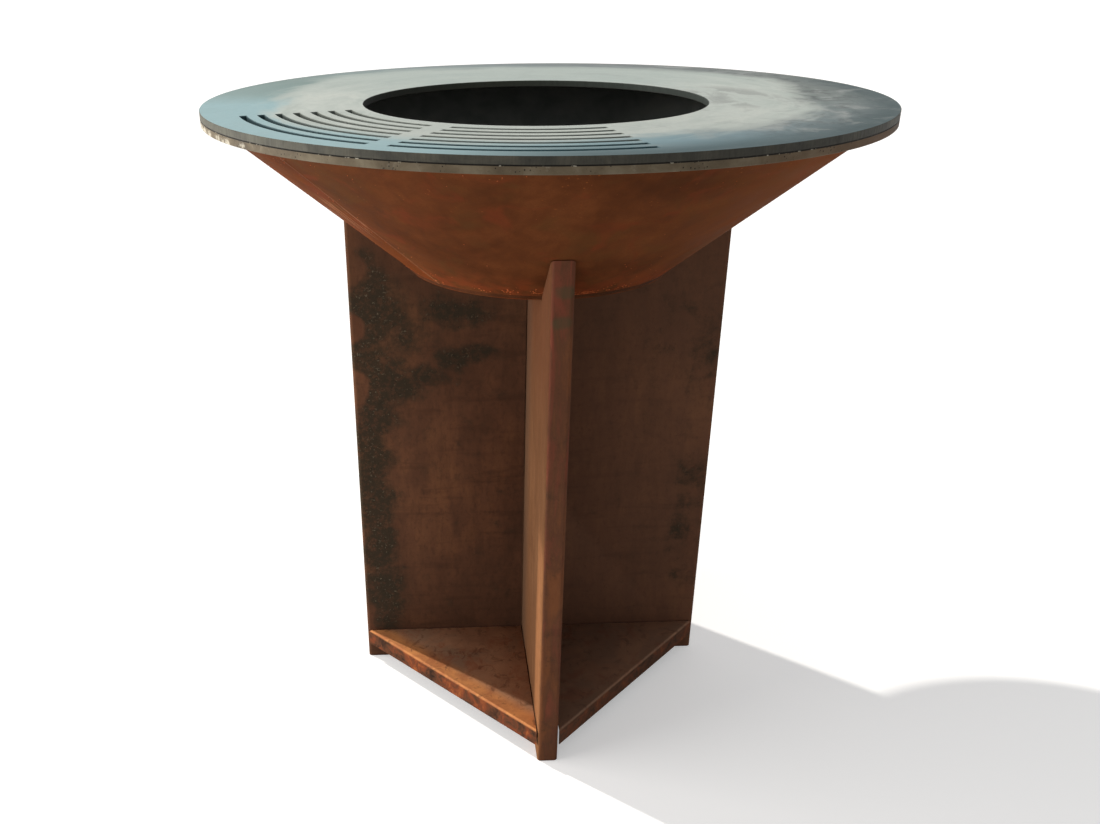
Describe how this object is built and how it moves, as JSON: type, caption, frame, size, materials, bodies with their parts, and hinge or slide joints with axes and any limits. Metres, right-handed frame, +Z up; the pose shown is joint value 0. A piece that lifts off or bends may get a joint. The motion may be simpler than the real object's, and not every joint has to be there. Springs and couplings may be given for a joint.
{
  "type": "brazier barbecue",
  "caption": "Round griddle plate with an off-centre fire hole and grill slots on a conical rusted-steel fire bowl, carried by crossed panels with low firewood shelves.",
  "frame": {"origin": "on the ground under the middle of the stand and of the plate", "axes": "+Z up; +X along the side panel to the right; -Y is the front that the picture shows"},
  "size_m": [0.9999, 1, 1.01],
  "materials": {
    "griddle_steel": "bare rolled steel, seasoned, satin",
    "rim_steel": "cut edge, mill scale, matt",
    "bowl_rust": "weathering steel, orange-brown rust, matt",
    "panel_rust": "weathering steel, dark brown rust with mill scale, matt",
    "shelf_rust": "weathering steel, brown rust, matt",
    "weld_metal": "rusted weld bead, rough"
  },
  "bodies": {
    "stand": {"side_panel": "panel_rust", "main_panel": "panel_rust", "side_panel_ledges": "panel_rust", "main_panel_ledges": "panel_rust"},
    "bowl": {"rim_ring": "rim_steel", "cone_front_half": "bowl_rust", "cone_rear_half": "bowl_rust", "cone_seam_welds": "weld_metal", "rim_stitch_welds": "weld_metal", "bowl_floor": "bowl_rust", "floor_weld": "weld_metal"},
    "griddle": {"griddle_plate": "griddle_steel", "griddle_lugs": "griddle_steel"},
    "shelf_front_left_body": {"shelf_front_left": "shelf_rust"},
    "shelf_front_right_body": {"shelf_front_right": "shelf_rust"},
    "shelf_back_left_body": {"shelf_back_left": "shelf_rust"},
    "shelf_back_right_body": {"shelf_back_right": "shelf_rust"}
  },
  "joints": [
    {"name": "bowl_lift", "type": "slide", "parent": "stand", "child": "bowl", "axis": [0, 0, 1], "range_m": [0, 0.2]},
    {"name": "griddle_lift", "type": "slide", "parent": "bowl", "child": "griddle", "axis": [0, 0, 1], "range_m": [0, 0.15]},
    {"name": "shelf_front_left_slide", "type": "slide", "parent": "stand", "child": "shelf_front_left_body", "axis": [-0.7071, -0.7071, 0], "range_m": [0, 0.2]},
    {"name": "shelf_front_right_slide", "type": "slide", "parent": "stand", "child": "shelf_front_right_body", "axis": [0.7071, -0.7071, 0], "range_m": [0, 0.2]},
    {"name": "shelf_back_left_slide", "type": "slide", "parent": "stand", "child": "shelf_back_left_body", "axis": [-0.7071, 0.7071, 0], "range_m": [0, 0.2]},
    {"name": "shelf_back_right_slide", "type": "slide", "parent": "stand", "child": "shelf_back_right_body", "axis": [0.7071, 0.7071, 0], "range_m": [0, 0.2]}
  ]
}
